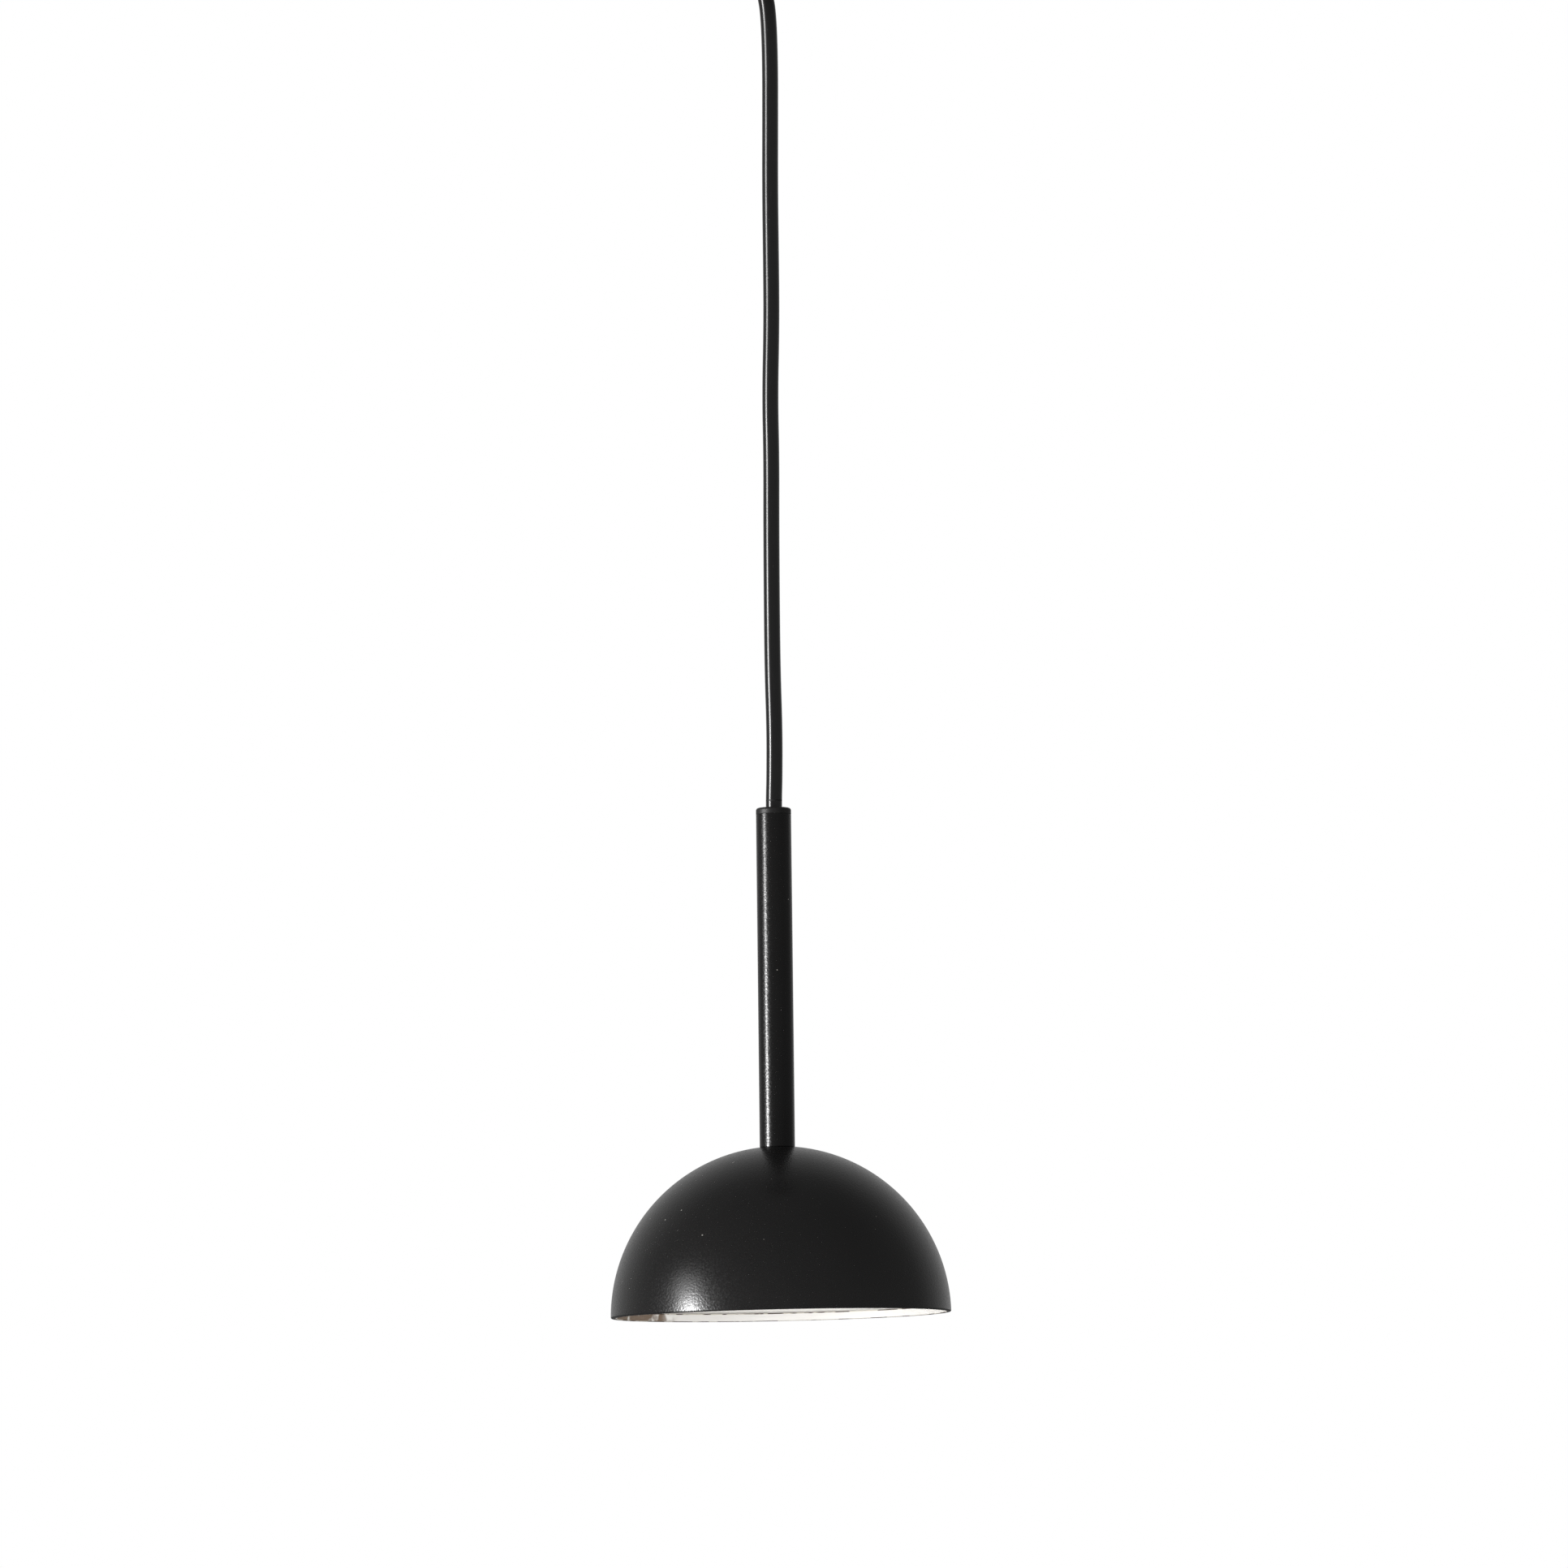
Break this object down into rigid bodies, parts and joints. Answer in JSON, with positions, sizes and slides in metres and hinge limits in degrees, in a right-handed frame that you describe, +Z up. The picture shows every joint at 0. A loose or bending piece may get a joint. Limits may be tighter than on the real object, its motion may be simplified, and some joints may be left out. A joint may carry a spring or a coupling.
{
  "type": "pendant ceiling light",
  "caption": "Pendant ceiling light: black half-sphere shade, white inside, on a slim stem hung by its cord from a round ceiling canopy, with a pull-out pin-base bulb.",
  "frame": {"origin": "middle of the ceiling bracket's upper face, on the ceiling", "axes": "+Z up into the ceiling, the lamp hangs along -Z, +X along the bracket, the picture looks along +Y"},
  "size_m": [0.125, 0.125, 0.5411],
  "materials": {
    "black_powder_coat": "matt fine-texture powder coat",
    "black_screw": "black oxide",
    "black_pvc": "smooth black PVC sheath",
    "black_nylon": "moulded matt",
    "zinc_plated_steel": "bright zinc",
    "brass": "turned",
    "spring_bronze": "stamped strip",
    "fibre": "vulcanised fibre",
    "steatite": "unglazed",
    "white_moulding": "moulded",
    "opal_cover": "opal diffuser",
    "pin_steel": "nickel plated",
    "circuit_board": "white solder mask",
    "brown_wire": "PVC insulation",
    "blue_wire": "PVC insulation",
    "earth_wire_green": "PVC insulation, green with yellow"
  },
  "bodies": {
    "ceiling_fitting": {"ceiling_bracket": "zinc_plated_steel", "canopy_cup": "black_powder_coat", "canopy_screws": "black_screw", "terminal_block": "white_moulding", "terminal_sleeves": "brass", "terminal_screws": "zinc_plated_steel", "block_screws": "zinc_plated_steel", "cord_grip": "black_nylon", "cord_grip_nut": "zinc_plated_steel", "cord_grip_screw": "black_nylon", "cord_upper_end": "black_pvc", "canopy_live_wire": "brown_wire", "canopy_neutral_wire": "blue_wire", "canopy_earth_wire": "earth_wire_green"},
    "cord_flex": {"cord_bend": "black_pvc"},
    "cord": {"cord": "black_pvc"},
    "lamp": {"stem_cap": "black_nylon", "stem_tube": "black_powder_coat", "cord_lower_end": "black_pvc", "cord_anchor": "zinc_plated_steel", "shade": "black_powder_coat", "threaded_nipple": "brass", "shade_washer": "fibre", "holder_strap": "zinc_plated_steel", "earth_tag": "brass", "lock_washer": "zinc_plated_steel", "nipple_nut": "zinc_plated_steel", "lampholder": "steatite", "contact_springs": "spring_bronze", "holder_screws": "zinc_plated_steel", "live_wire": "brown_wire", "neutral_wire": "blue_wire", "earth_wire": "earth_wire_green"},
    "bulb": {"bulb_base": "white_moulding", "bulb_pins": "pin_steel", "bulb_cover": "opal_cover", "led_board": "circuit_board"}
  },
  "joints": [
    {"name": "swing_side", "type": "hinge", "parent": "ceiling_fitting", "child": "cord_flex", "pos_m": [0, 0, -0.044], "axis": [0, 1, 0], "range_deg": [-25, 25]},
    {"name": "swing_front", "type": "hinge", "parent": "cord_flex", "child": "cord", "pos_m": [0, 0, -0.044], "axis": [1, 0, 0], "range_deg": [-25, 25]},
    {"name": "lamp_twist", "type": "hinge", "parent": "cord", "child": "lamp", "pos_m": [0, 0, -0.354], "axis": [0, 0, 1], "range_deg": [-90, 90], "stiffness_Nm_per_rad": 0.003},
    {"name": "bulb_pull", "type": "slide", "parent": "lamp", "child": "bulb", "axis": [0, 0, -1], "range_m": [0, 0.02]}
  ]
}
